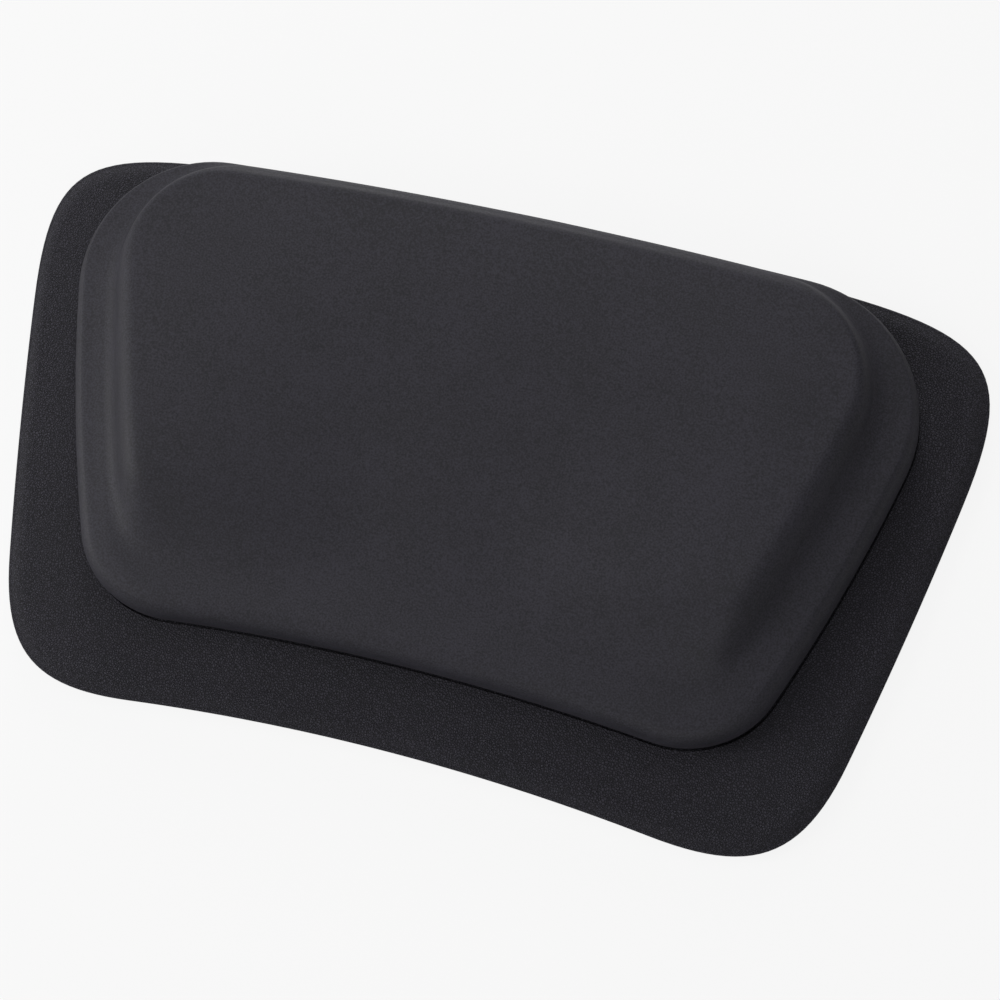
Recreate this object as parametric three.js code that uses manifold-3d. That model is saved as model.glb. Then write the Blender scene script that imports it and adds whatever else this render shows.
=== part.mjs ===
import * as THREE from 'three';
import { mergeVertices } from 'three/addons/utils/BufferGeometryUtils.js';
import Module from 'manifold-3d';

// A bath pillow, in millimetres, lying on its back. X runs across it, Y towards its wide top edge
// and Z out of its resting face. Z is zero at the lips of the suction cups, where the bath wall is.

const wasm = await Module();
wasm.setup();

// Skirt: the grained sheet whose edge shows all round the pad
const skirtTopHalfWidth = 180;
const skirtBottomHalfWidth = 141;
const skirtHeight = 197.3;
const skirtTopBow = 13;
const skirtBottomBow = 12;
const skirtSideBow = 3;
const skirtTopRadius = 56.5;
const skirtBottomRadius = 51.5;
const skirtTopFullnessShare = 1.5;
const skirtBottomFullnessShare = 1.32;
const skirtThickness = 5;
const skirtEdgeThickness = 2.6;
const skirtTaperWidth = 7;

// Pad: two tiers under one moulded cover, measured in from the skirt's outline
const footTopSideMargin = 19.8;
const footBottomSideMargin = 27.3;
const footTopMargin = 4.9;
const footBottomMargin = 29.65;
const footTopBow = 5.5;
const footBottomBow = 7.5;
const footSideBow = 6;
const footTopRadius = 52;
const footBottomRadius = 35.5;
const lowerRollWidth = 5.5;
const topRollWidth = 2;
const lowerTierHeight = 16;

// Rim of the upper tier, a third of the way up its step, measured in from the foot of the lower one
const rimTopSideStep = 18.2;
const rimBottomSideStep = 15.2;
const rimTopStep = 2.75;
const rimBottomStep = 11.25;
const rimTopBow = 5.5;
const rimBottomBow = 5;
const rimSideBow = 4;
const rimTopRadius = 43;
const rimBottomRadius = 28.5;

// Resting face: where the step levels out, measured in from the rim, whose bows it keeps
const faceSideStep = 6.5;
const faceTopStep = 4;
const faceBottomStep = 6.75;
const faceTopRadius = 34;
const faceBottomRadius = 27;
const upperTierHeight = 28;
const faceCrown = 1.5;

// Neck hollow: the dip in the lower middle of the face, where the step between the tiers fades out,
// as it does along the whole lower edge of the face
const hollowFlatHalfWidth = 18;
const hollowHalfWidth = 115;
const hollowReach = 145;
const stepFadeReach = 35;

// Layers inside the cover
const coverWall = 2;
const coverLipWidth = 12;
const coreFoamHeight = 12;
const plateThickness = 2.5;

// Clearance between layers and pieces that lie on each other, and of a stud in its socket
const layerGap = 0.3;
const studClearance = 0.35;

// Suction cups and their sockets
const cupRadius = 16;
const cupProud = 3;
const cupLipWidth = 1.4;
const cupLipThickness = 0.9;
const cupCrownThickness = 2.4;
const cupShoulderRadius = 7;
const cupNeckRadius = 4;
const cupHeadRadius = 6;
const cupHeadEdge = 1.2;
const cupHeadTipRadius = 2.4;
const cupHeadHeight = 3.6;
const windowClearance = 1.6;
const socketHoleRadius = 7;
const socketFlangeRadius = 9.5;
const socketFlangeThickness = 1.2;
const wellClearance = 0.8;
const upperCupSideMargin = 46;
const lowerCupSideMargin = 31;
const upperCupMargin = 30;
const lowerCupMargin = 26;

// Amount by which a cutting solid runs past what it cuts, and the distance that welds two vertices
const overrun = 5;
const weldDistance = 0.0005;
const smallestRadius = 0.5;

// Steps of the outlines and of the round pieces
const longEdgeSteps = 8;
const sideEdgeSteps = 5;
const cornerSteps = 5;
const roundSegments = 24;
const windowSegments = 32;

// Heights above the wall
const skirtBack = cupProud;
const skirtFront = skirtBack + skirtThickness;
const plateBottom = skirtFront + layerGap;
const plateTop = plateBottom + plateThickness;
const foamFloor = plateTop + layerGap;
const foamSplit = skirtFront + coreFoamHeight;
const socketBottom = plateBottom - layerGap - socketFlangeThickness;
const socketTop = plateTop + layerGap + socketFlangeThickness;
const cupTop = socketBottom - layerGap;
const cupHeadBottom = socketTop + layerGap;
const cupHeadTop = cupHeadBottom + cupHeadHeight;

// Fan outlines: a wide top edge and a narrow bottom edge that both bow upwards, sides that bow
// outwards, and four round corners. topMid and bottomMid are where the long edges cross X = 0. A
// fullness share above 1 draws a corner out past its circle.
const skirtFan = {
  topHalf: skirtTopHalfWidth,
  bottomHalf: skirtBottomHalfWidth,
  topMid: skirtHeight / 2,
  bottomMid: -skirtHeight / 2,
  topBow: skirtTopBow,
  bottomBow: skirtBottomBow,
  sideBow: skirtSideBow,
  topRadius: skirtTopRadius,
  bottomRadius: skirtBottomRadius,
  topFullness: skirtTopFullnessShare,
  bottomFullness: skirtBottomFullnessShare,
};
const footFan = {
  topHalf: skirtFan.topHalf - footTopSideMargin,
  bottomHalf: skirtFan.bottomHalf - footBottomSideMargin,
  topMid: skirtFan.topMid - footTopMargin,
  bottomMid: skirtFan.bottomMid + footBottomMargin,
  topBow: footTopBow,
  bottomBow: footBottomBow,
  sideBow: footSideBow,
  topRadius: footTopRadius,
  bottomRadius: footBottomRadius,
  topFullness: 1,
  bottomFullness: 1,
};
const rimFan = {
  topHalf: footFan.topHalf - rimTopSideStep,
  bottomHalf: footFan.bottomHalf - rimBottomSideStep,
  topMid: footFan.topMid - rimTopStep,
  bottomMid: footFan.bottomMid + rimBottomStep,
  topBow: rimTopBow,
  bottomBow: rimBottomBow,
  sideBow: rimSideBow,
  topRadius: rimTopRadius,
  bottomRadius: rimBottomRadius,
  topFullness: 1,
  bottomFullness: 1,
};
const faceFan = {
  ...rimFan,
  topHalf: rimFan.topHalf - faceSideStep,
  bottomHalf: rimFan.bottomHalf - faceSideStep,
  topMid: rimFan.topMid - faceTopStep,
  bottomMid: rimFan.bottomMid + faceBottomStep,
  topRadius: faceTopRadius,
  bottomRadius: faceBottomRadius,
};

// How the pad's side climbs. Each row holds shares of the lower roll's width, of the way on to the
// rim and of the way on to the face, then of the lower tier's height and of the upper tier's rise.
const coverSideShares = [
  [0, 0, 0, 0, 0],
  [0, 0, 0, 0.18, 0],
  [0.16, 0, 0, 0.58, 0],
  [0.57, 0, 0, 0.87, 0],
  [1, 0, 0, 0.965, 0],
  [1, 0.47, 0, 1, 0.02],
  [1, 0.79, 0, 1, 0.13],
  [1, 1, 0, 1, 0.35],
  [1, 1, 0.43, 1, 0.68],
  [1, 1, 0.815, 1, 0.925],
];
const faceShares = [0.97, 0.8, 0.6, 0.4, 0.2];

// The cover's inside and the foam follow the same climb with fewer steps
const foamSideShares = [0, 2, 4, 5, 6, 7, 9].map((row) => coverSideShares[row]);
const foamFaceShares = [0.82, 0.4];

function blendFans(from, to, share) {
  const blend = {};
  for (const size of Object.keys(from)) {
    blend[size] = THREE.MathUtils.lerp(from[size], to[size], share);
  }
  return blend;
}

function insetFan(fan, inset) {
  return {
    ...fan,
    topHalf: fan.topHalf - inset,
    bottomHalf: fan.bottomHalf - inset,
    topMid: fan.topMid - inset,
    bottomMid: fan.bottomMid + inset,
    topRadius: Math.max(fan.topRadius - inset, smallestRadius),
    bottomRadius: Math.max(fan.bottomRadius - inset, smallestRadius),
  };
}

// An edge that bows by a given amount to the right of its direction, as a parabola
function bowedEdge(from, to, bow) {
  const along = to.clone().sub(from).normalize();
  const outward = new THREE.Vector2(along.y, -along.x);
  const control = from.clone().add(to).multiplyScalar(1 / 2).addScaledVector(outward, 2 * bow);
  return new THREE.QuadraticBezierCurve(from, control, to);
}

// The share of each edge that a round corner of the given radius takes away
function cornerTrim(incoming, outgoing, radius) {
  const turn = incoming.getTangent(1).angleTo(outgoing.getTangent(0));
  return radius * Math.tan(turn / 2);
}

// A near-circular corner between two points, each with its direction of travel
function roundCorner(from, fromDirection, to, toDirection, fullness) {
  const turn = fromDirection.angleTo(toDirection);
  const radius = from.distanceTo(to) / (2 * Math.sin(turn / 2));
  const handle = (4 / 3) * Math.tan(turn / 4) * radius * fullness;
  return new THREE.CubicBezierCurve(
    from,
    from.clone().addScaledVector(fromDirection, handle),
    to.clone().addScaledVector(toDirection, -handle),
    to,
  );
}

// The points of a fan outline, anticlockwise, always in the same number and order
function fanPoints(fan) {
  const topY = fan.topMid - fan.topBow;
  const bottomY = fan.bottomMid - fan.bottomBow;
  const bottomRight = new THREE.Vector2(fan.bottomHalf, bottomY);
  const topRight = new THREE.Vector2(fan.topHalf, topY);
  const topLeft = new THREE.Vector2(-fan.topHalf, topY);
  const bottomLeft = new THREE.Vector2(-fan.bottomHalf, bottomY);
  const edges = [
    bowedEdge(bottomRight, topRight, fan.sideBow),
    bowedEdge(topRight, topLeft, fan.topBow),
    bowedEdge(topLeft, bottomLeft, fan.sideBow),
    bowedEdge(bottomLeft, bottomRight, -fan.bottomBow),
  ];
  const steps = [sideEdgeSteps, longEdgeSteps, sideEdgeSteps, longEdgeSteps];
  const radii = [fan.topRadius, fan.topRadius, fan.bottomRadius, fan.bottomRadius];
  const fullness = [fan.topFullness, fan.topFullness, fan.bottomFullness, fan.bottomFullness];
  const count = edges.length;
  const trims = edges.map((edge, k) => cornerTrim(edge, edges[(k + 1) % count], radii[k]));
  const spans = edges.map((edge, k) => {
    const length = edge.getLength();
    return [trims[(k + count - 1) % count] / length, 1 - trims[k] / length];
  });
  const points = [];
  edges.forEach((edge, k) => {
    const [start, end] = spans[k];
    for (let step = 0; step <= steps[k]; step++) {
      points.push(edge.getPoint(THREE.MathUtils.lerp(start, end, step / steps[k])));
    }
    const next = edges[(k + 1) % count];
    const nextStart = spans[(k + 1) % count][0];
    const corner = roundCorner(
      edge.getPoint(end), edge.getTangent(end), next.getPoint(nextStart), next.getTangent(nextStart),
      fullness[k],
    );
    for (let step = 1; step < cornerSteps; step++) {
      points.push(corner.getPoint(step / cornerSteps));
    }
  });
  return points;
}

// A closed solid through rings of points from the bottom up, each with as many points as the next,
// closed by a point in the middle of its bottom and one in the middle of its top
function ringSolid(rings, bottomPoint, topPoint) {
  const size = rings[0].length;
  const points = [...rings.flat(), bottomPoint, topPoint];
  const bottomIndex = points.length - 2;
  const topIndex = points.length - 1;
  const lastRing = (rings.length - 1) * size;
  const triangles = [];
  for (let k = 0; k < size; k++) {
    const next = (k + 1) % size;
    triangles.push(bottomIndex, next, k);
    triangles.push(topIndex, lastRing + k, lastRing + next);
    for (let ring = 0; ring < lastRing; ring += size) {
      triangles.push(ring + k, ring + next, ring + size + next);
      triangles.push(ring + k, ring + size + next, ring + size + k);
    }
  }
  const geometry = new THREE.BufferGeometry().setFromPoints(points);
  geometry.setIndex(triangles);
  return geometry;
}

// A ring at one height, and a flat-ended block with a fan outline
function flatRing(fan, height) {
  return fanPoints(fan).map((point) => new THREE.Vector3(point.x, point.y, height));
}

function fanBlock(fan, bottom, top) {
  const middle = (fan.topMid + fan.bottomMid) / 2;
  return ringSolid(
    [flatRing(fan, bottom), flatRing(fan, top)],
    new THREE.Vector3(0, middle, bottom),
    new THREE.Vector3(0, middle, top),
  );
}

// How much of the step between the tiers is left at a place, from 1 beside the face's upper part to 0
// at its lower edge and at the bottom of the neck hollow
function stepShare(x, y) {
  const edge = rimFan.bottomMid;
  const across = 1 - THREE.MathUtils.smoothstep(Math.abs(x), hollowFlatHalfWidth, hollowHalfWidth);
  const along = 1 - THREE.MathUtils.smoothstep(y, edge, edge + hollowReach);
  return (1 - across * along) * THREE.MathUtils.smoothstep(y, edge, edge + stepFadeReach);
}

// The pad's outer surface drawn in by an inset, closed by a flat floor
function padGeometry(sideShares, innerShares, inset, floor) {
  const rise = upperTierHeight - lowerTierHeight;
  const heightAt = (x, y, lowerShare, upperShare) => {
    const step = rise * stepShare(x, y);
    return skirtFront + lowerTierHeight * lowerShare + step * upperShare - inset;
  };
  const rings = sideShares.map(([lowerRoll, toRim, toFace, lowerShare, upperShare]) => {
    const shoulder = {
      ...insetFan(footFan, lowerRollWidth * lowerRoll),
      topMid: footFan.topMid - topRollWidth * lowerRoll,
    };
    const fan = blendFans(blendFans(shoulder, rimFan, toRim), faceFan, toFace);
    return fanPoints(insetFan(fan, inset)).map(({ x, y }) => {
      const height = Math.max(heightAt(x, y, lowerShare, upperShare), floor);
      return new THREE.Vector3(x, y, height);
    });
  });
  const middle = (rimFan.topMid + rimFan.bottomMid) / 2;
  const faceEdge = rings[rings.length - 1];
  for (const share of innerShares) {
    rings.push(faceEdge.map((point) => {
      const x = point.x * share;
      const y = THREE.MathUtils.lerp(middle, point.y, share);
      return new THREE.Vector3(x, y, heightAt(x, y, 1, 1) + faceCrown * (1 - share * share));
    }));
  }
  return ringSolid(
    rings,
    new THREE.Vector3(0, middle, floor),
    new THREE.Vector3(0, middle, heightAt(0, middle, 1, 1) + faceCrown),
  );
}

// Solids for cutting and joining
function toSolid(geometry) {
  const bare = geometry.clone();
  bare.deleteAttribute('normal');
  bare.deleteAttribute('uv');
  const merged = mergeVertices(bare, weldDistance);
  const triangles = [];
  const index = merged.index.array;
  for (let k = 0; k < index.length; k += 3) {
    const [a, b, c] = index.slice(k, k + 3);
    if (a !== b && b !== c && c !== a) triangles.push(a, b, c);
  }
  return new wasm.Manifold(new wasm.Mesh({
    numProp: 3,
    vertProperties: merged.attributes.position.array,
    triVerts: new Uint32Array(triangles),
  }));
}

function toGeometry(solid) {
  const mesh = solid.getMesh();
  const geometry = new THREE.BufferGeometry();
  geometry.setAttribute('position', new THREE.BufferAttribute(mesh.vertProperties, 3));
  geometry.setIndex(new THREE.BufferAttribute(mesh.triVerts, 1));
  return geometry;
}

function upright(geometry) {
  return geometry.rotateX(Math.PI / 2);
}

function drill(radius, bottom, top, place, segments) {
  const drillBody = upright(new THREE.CylinderGeometry(radius, radius, top - bottom, segments));
  return toSolid(drillBody.translate(place.x, place.y, (bottom + top) / 2));
}

function turned(profile) {
  const points = profile.map(([radius, height]) => new THREE.Vector2(radius, height));
  return toGeometry(toSolid(upright(new THREE.LatheGeometry(points, roundSegments))));
}

// Places of the cups: two rows that follow the bow of the plate's long edges
const plateFan = insetFan(footFan, coverLipWidth + layerGap);

function cupRow(half, sideMargin, mid, bow) {
  const spacing = half - sideMargin;
  return [-spacing, 0, spacing].map((x) => new THREE.Vector2(x, mid - bow * (x / half) ** 2));
}

const cupPlaces = [
  ...cupRow(plateFan.topHalf, upperCupSideMargin, plateFan.topMid - upperCupMargin, plateFan.topBow),
  ...cupRow(plateFan.bottomHalf, lowerCupSideMargin, plateFan.bottomMid + lowerCupMargin, plateFan.bottomBow),
];

// Skirt: a sheet with a half-round edge that thins outwards, and a window for each cup
function skirtGeometry() {
  const edgeRadius = skirtEdgeThickness / 2;
  const edgeMiddle = skirtBack + edgeRadius;
  const rings = [-90, -45, 0, 45, 90].map((degrees) => {
    const angle = THREE.MathUtils.degToRad(degrees);
    const inset = edgeRadius * (1 - Math.cos(angle));
    return flatRing(insetFan(skirtFan, inset), edgeMiddle + edgeRadius * Math.sin(angle));
  });
  rings.push(flatRing(insetFan(skirtFan, skirtTaperWidth), skirtFront));
  const sheet = ringSolid(rings, new THREE.Vector3(0, 0, skirtBack), new THREE.Vector3(0, 0, skirtFront));
  let solid = toSolid(sheet);
  for (const place of cupPlaces) {
    const radius = cupRadius + windowClearance;
    const window = drill(radius, skirtBack - overrun, skirtFront + overrun, place, windowSegments);
    solid = solid.subtract(window);
  }
  return toGeometry(solid);
}

// Pad cover: a moulded skin over both tiers, turned in at its foot to a lip that lies on the skirt
function padCoverGeometry() {
  const outer = padGeometry(coverSideShares, faceShares, 0, plateBottom);
  const inner = padGeometry(foamSideShares, foamFaceShares, coverWall, plateTop);
  const opening = fanBlock(insetFan(footFan, coverLipWidth), plateBottom - overrun, plateTop + layerGap);
  return toGeometry(toSolid(outer).subtract(toSolid(inner)).subtract(toSolid(opening)));
}

// Foam: one filling of the cover, parted at a level into a soft layer over a firm one
function foamSolid() {
  return toSolid(padGeometry(foamSideShares, foamFaceShares, coverWall + layerGap, foamFloor));
}

function foamCutter(bottom, top) {
  return toSolid(fanBlock(skirtFan, bottom, top));
}

function comfortFoamGeometry() {
  return toGeometry(foamSolid().subtract(foamCutter(foamFloor - overrun, foamSplit + layerGap)));
}

function coreFoamGeometry() {
  const highest = skirtFront + upperTierHeight + faceCrown;
  let solid = foamSolid().subtract(foamCutter(foamSplit, highest + overrun));
  for (const place of cupPlaces) {
    const radius = socketFlangeRadius + wellClearance;
    const wellTop = cupHeadTop + wellClearance;
    solid = solid.subtract(drill(radius, foamFloor - overrun, wellTop, place, roundSegments));
  }
  return toGeometry(solid);
}

// Mounting plate: lies in the cover's opening, with a round hole for each socket
function mountingPlateGeometry() {
  let solid = toSolid(fanBlock(plateFan, plateBottom, plateTop));
  for (const place of cupPlaces) {
    const hole = drill(socketHoleRadius, plateBottom - overrun, plateTop + overrun, place, roundSegments);
    solid = solid.subtract(hole);
  }
  return toGeometry(solid);
}

// Cup socket: a grommet gripped by the plate's hole, with a plain bore for the cup's neck
function cupSocketGeometry() {
  const bore = cupNeckRadius + studClearance;
  const waist = socketHoleRadius - layerGap;
  return turned([
    [bore, socketBottom],
    [socketFlangeRadius, socketBottom],
    [socketFlangeRadius, plateBottom - layerGap],
    [waist, plateBottom - layerGap],
    [waist, plateTop + layerGap],
    [socketFlangeRadius, plateTop + layerGap],
    [socketFlangeRadius, socketTop],
    [bore, socketTop],
    [bore, socketBottom],
  ]);
}

// Suction cup: a shallow bell with a flat lip, a neck through the socket and a mushroom head
function suctionCupGeometry() {
  const bellRadius = cupRadius - cupLipWidth;
  const bellHeight = cupTop - cupCrownThickness;
  const bell = [0, 0.4, 0.7, 0.88, 1].map((share) => [bellRadius * share, bellHeight * (1 - share * share)]);
  return turned([
    ...bell,
    [cupRadius, 0],
    [cupRadius, cupLipThickness],
    [cupShoulderRadius, cupTop],
    [cupNeckRadius, cupTop],
    [cupNeckRadius, cupHeadBottom],
    [cupHeadRadius, cupHeadBottom],
    [cupHeadRadius, cupHeadBottom + cupHeadEdge],
    [cupHeadTipRadius, cupHeadTop],
    [0, cupHeadTop],
  ]);
}

// Finishes
function finish(color, roughness) {
  return new THREE.MeshStandardMaterial({ color, roughness, metalness: 0 });
}

const grainedSkin = finish(0x2a292e, 0.75);
const smoothSkin = finish(0x333238, 0.55);
const softFoam = finish(0xd9d4c6, 0.95);
const firmFoam = finish(0x6d7074, 0.95);
const plateResin = finish(0x4a4c50, 0.5);
const socketResin = finish(0x1c1c1e, 0.5);
const cupRubber = finish(0x9fa6ab, 0.3);

function named(name, geometry, material) {
  const mesh = new THREE.Mesh(geometry, material);
  mesh.name = name;
  return mesh;
}

const pillow = new THREE.Group();
pillow.add(named('skirt', skirtGeometry(), grainedSkin));
pillow.add(named('pad_cover', padCoverGeometry(), smoothSkin));
pillow.add(named('comfort_foam', comfortFoamGeometry(), softFoam));
pillow.add(named('core_foam', coreFoamGeometry(), firmFoam));
pillow.add(named('mounting_plate', mountingPlateGeometry(), plateResin));
cupPlaces.forEach((place, k) => {
  const socket = named(`cup_socket_${k + 1}`, cupSocketGeometry(), socketResin);
  const cup = named(`suction_cup_${k + 1}`, suctionCupGeometry(), cupRubber);
  for (const piece of [socket, cup]) {
    piece.position.set(place.x, place.y, 0);
    pillow.add(piece);
  }
});

// The origin is the middle of the skirt's outline, so the outline's own middle moves to it
const skirtBox = new THREE.Box2().setFromPoints(fanPoints(skirtFan));
pillow.position.y = -skirtBox.getCenter(new THREE.Vector2()).y;

export default pillow;
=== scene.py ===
# %% [markdown]
# # A moulded bath pillow
# The pillow is a fan-shaped pad of two soft tiers on a thin grained skirt. Suction cups on its back
# hold it to the bath wall. The solids of every piece come in first as a fixed frame, in metres, and
# each visible piece is then made again with a fine surface and its own finish, in the same place.

# %% Load the frame
from math import cos, pi, radians, sin, tan

import bmesh
import bpy
import numpy as np
from mathutils import Matrix, Vector


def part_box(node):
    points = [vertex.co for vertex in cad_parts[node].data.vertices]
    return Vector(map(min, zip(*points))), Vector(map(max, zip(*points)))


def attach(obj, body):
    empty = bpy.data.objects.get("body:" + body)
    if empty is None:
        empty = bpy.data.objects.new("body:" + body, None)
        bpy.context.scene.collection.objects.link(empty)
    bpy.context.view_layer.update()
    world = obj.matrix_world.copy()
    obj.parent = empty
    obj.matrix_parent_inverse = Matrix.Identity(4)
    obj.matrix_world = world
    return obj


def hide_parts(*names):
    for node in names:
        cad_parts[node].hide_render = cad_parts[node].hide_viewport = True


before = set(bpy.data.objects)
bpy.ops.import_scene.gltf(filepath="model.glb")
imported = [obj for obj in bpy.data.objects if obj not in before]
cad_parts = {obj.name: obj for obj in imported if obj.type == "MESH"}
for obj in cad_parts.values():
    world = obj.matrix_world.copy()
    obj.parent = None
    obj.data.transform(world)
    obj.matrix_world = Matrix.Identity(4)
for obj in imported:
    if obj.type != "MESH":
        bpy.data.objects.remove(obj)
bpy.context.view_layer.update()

MM = 0.001

# %% [markdown]
# ## The camera
# The photograph looks down on the pillow from its lower right, with the picture turned so that the
# long edge falls to the right. A camera could be tracked to a target, but a track can't roll it, so
# its three axes are worked out from the turn, the tilt and the roll and written as one matrix.

# %% Camera
CAMERA_TARGET = Vector((16.2, -0.8, 0)) * MM
CAMERA_DISTANCE = 560 * MM
CAMERA_TURN = radians(8.8)
CAMERA_TILT = radians(7.4)
CAMERA_ROLL = radians(14.2)
CAMERA_LENS = 57.0


def aimed_camera(name, target, distance, turn, tilt, roll, lens):
    toward = Vector((sin(turn) * cos(tilt), -sin(tilt), cos(turn) * cos(tilt)))
    level = Vector((0, 1, 0)).cross(toward).normalized()
    raised = toward.cross(level)
    right = cos(roll) * level + sin(roll) * raised
    up = cos(roll) * raised - sin(roll) * level
    camera = bpy.data.objects.new(name, bpy.data.cameras.new(name))
    camera.data.lens = lens
    axes = Matrix((right, up, toward)).transposed().to_4x4()
    camera.matrix_world = Matrix.Translation(target + distance * toward) @ axes
    bpy.context.scene.collection.objects.link(camera)
    return camera


bpy.context.scene.camera = aimed_camera(
    "camera", CAMERA_TARGET, CAMERA_DISTANCE, CAMERA_TURN, CAMERA_TILT, CAMERA_ROLL, CAMERA_LENS
)
print("camera at", [round(c, 3) for c in bpy.context.scene.camera.location])

# %% [markdown]
# ## Writing nodes as expressions
# A finish is a small formula over the surface. Linking its nodes by hand hides that formula, so a
# socket is wrapped in a class on which +, - and * add the Math nodes. Every other node comes from one
# method, which sets the node's own settings first and then its sockets.

# %% Wires
NOISE_MIDDLE = 0.5


class Wire:
    """An output socket that maths can be written on."""

    def __init__(self, sheet, socket):
        self.sheet = sheet
        self.socket = socket

    def maths(self, operation, *values):
        return self.sheet.node("ShaderNodeMath", {"operation": operation}, dict(enumerate(values)))

    def __add__(self, other):
        return self.maths("ADD", self, other)

    __radd__ = __add__

    def __sub__(self, other):
        return self.maths("SUBTRACT", self, other)

    def __rsub__(self, other):
        return self.maths("SUBTRACT", other, self)

    def __mul__(self, other):
        return self.maths("MULTIPLY", self, other)

    __rmul__ = __mul__

    def absolute(self):
        return self.maths("ABSOLUTE", self)

    def smoothstep(self, low, high):
        """0 below low, 1 above high and an S-curve between them."""
        sockets = {"Value": self, "From Min": low, "From Max": high}
        return self.sheet.node("ShaderNodeMapRange", {"interpolation_type": "SMOOTHSTEP"}, sockets)


print("a wire adds nodes for", [name for name in vars(Wire) if name.endswith(("add__", "sub__", "mul__"))])

# %% Sheets and finishes
# The Mix node has its colours on these sockets, beside others of the same names
MIX_SHARE, MIX_FIRST, MIX_SECOND, MIX_RESULT = 0, 6, 7, 2


class Sheet:
    """A node tree that is written by node() and by maths on the wires it returns."""

    def __init__(self, tree):
        self.tree = tree
        tree.nodes.clear()

    def node(self, kind, settings=None, sockets=None, output=0):
        made = self.tree.nodes.new(kind)
        for name, value in (settings or {}).items():
            setattr(made, name, value)
        for key, value in (sockets or {}).items():
            if isinstance(value, Wire):
                self.tree.links.new(value.socket, made.inputs[key])
            else:
                made.inputs[key].default_value = value
        return Wire(self, made.outputs[output]) if made.outputs else None

    def rays(self):
        """1 for what the camera sees directly, and 1 for what a gloss or a glass shows it."""
        seen, glossy, transmission = (
            self.node("ShaderNodeLightPath", output=f"Is {name} Ray")
            for name in ("Camera", "Glossy", "Transmission")
        )
        return seen, glossy.maths("MAXIMUM", glossy, transmission)


class Finish(Sheet):
    """A material: its pattern is written with wires and done() joins it to the surface shader."""

    def __init__(self, name):
        self.material = bpy.data.materials.new(name)
        self.material.use_nodes = True
        super().__init__(self.material.node_tree)
        self.place = self.node("ShaderNodeTexCoord", output="Object")

    def noise(self, size, detail=2.0, roughness=0.5):
        """Noise from 0 to 1 whose lumps are about size metres across."""
        sockets = {"Vector": self.place, "Scale": 1 / size, "Detail": detail, "Roughness": roughness}
        return self.node("ShaderNodeTexNoise", None, sockets, "Fac")

    def cells(self, size, feature, place=None):
        """Distances in a pattern of uneven cells that are about size metres across."""
        sockets = {"Vector": place or self.place, "Scale": 1 / size}
        return self.node("ShaderNodeTexVoronoi", {"feature": feature}, sockets, "Distance")

    def vectors(self, operation, sockets):
        return self.node("ShaderNodeVectorMath", {"operation": operation}, sockets)

    def warped(self, size, amount):
        """The surface coordinate pushed about by noise, so that a pattern on it runs unevenly."""
        sockets = {"Vector": self.place, "Scale": 1 / size, "Detail": 1.0}
        drift = self.node("ShaderNodeTexNoise", None, sockets, "Color")
        centred = self.vectors("SUBTRACT", {0: drift, 1: [NOISE_MIDDLE] * 3})
        push = self.vectors("SCALE", {0: centred, "Scale": amount})
        return self.vectors("ADD", {0: self.place, 1: push})

    def blend(self, share, dark, light):
        sockets = {MIX_SHARE: share, MIX_FIRST: (*dark, 1.0), MIX_SECOND: (*light, 1.0)}
        return self.node("ShaderNodeMix", {"data_type": "RGBA"}, sockets, MIX_RESULT)

    def done(self, color, roughness, height=None, depth=0.0, specular=0.5):
        sockets = {"Base Color": color, "Roughness": roughness, "Specular IOR Level": specular}
        if height is not None:
            sockets["Normal"] = self.node("ShaderNodeBump", None, {"Distance": depth, "Height": height})
        shader = self.node("ShaderNodeBsdfPrincipled", None, sockets)
        self.node("ShaderNodeOutputMaterial", None, {"Surface": shader})
        return self.material


# %% [markdown]
# ## The finishes
# The pad's skin is smooth moulded polyurethane: nearly black with a violet cast, satin, and clouded
# where the mould released it unevenly. The skirt is the same stuff with a leather grain pressed into
# it, so it is duller and its furrows are darker. A picture of leather would show the grain too, but
# cells with furrows between them come from a formula, so they have no seam and never repeat.

# %% Skins
SMOOTH_SHADES = (0.0110, 0.0105, 0.0145), (0.0344, 0.0324, 0.0436)
GRAINED_SHADES = (0.0062, 0.0058, 0.0082), (0.0440, 0.0414, 0.0552)


def smooth_skin():
    finish = Finish("smooth_skin")
    clouds = finish.noise(26 * MM, 3.0)
    mottle = finish.noise(4 * MM, 3.0, 0.6)
    peel = finish.noise(0.65 * MM, 2.0)
    share = 0.90 * clouds + 0.80 * mottle + 3.20 * peel - 1.95
    color = finish.blend(share, *SMOOTH_SHADES)
    roughness = 0.50 + 0.10 * mottle + 0.08 * clouds
    height = 0.7 * peel + 0.3 * mottle
    return finish.done(color, roughness, height, 0.07 * MM, specular=0.32)


def grained_skin():
    finish = Finish("grained_skin")
    warped = finish.warped(3 * MM, 1 * MM)
    furrow = finish.cells(0.85 * MM, "DISTANCE_TO_EDGE", warped)
    pebble = furrow.smoothstep(0.0, 0.30)
    fine = finish.noise(0.5 * MM, 2.0)
    clouds = finish.noise(50 * MM, 2.0)
    share = 0.90 * pebble + 2.80 * fine + 0.35 * clouds - 1.55
    color = finish.blend(share, *GRAINED_SHADES)
    roughness = 0.78 - 0.12 * pebble
    height = 0.75 * pebble + 0.25 * fine
    return finish.done(color, roughness, height, 0.26 * MM, specular=0.30)


SMOOTH_SKIN = smooth_skin()
GRAINED_SKIN = grained_skin()
print("skins:", SMOOTH_SKIN.name, GRAINED_SKIN.name)

# %% [markdown]
# The foams never show while the cover is on, but the part can be taken apart, so they get their open
# cells, the plate its moulded satin and the cups their grey elastomer. One function serves both foams
# and another all three resins, because only their sizes and colours differ.


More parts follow.
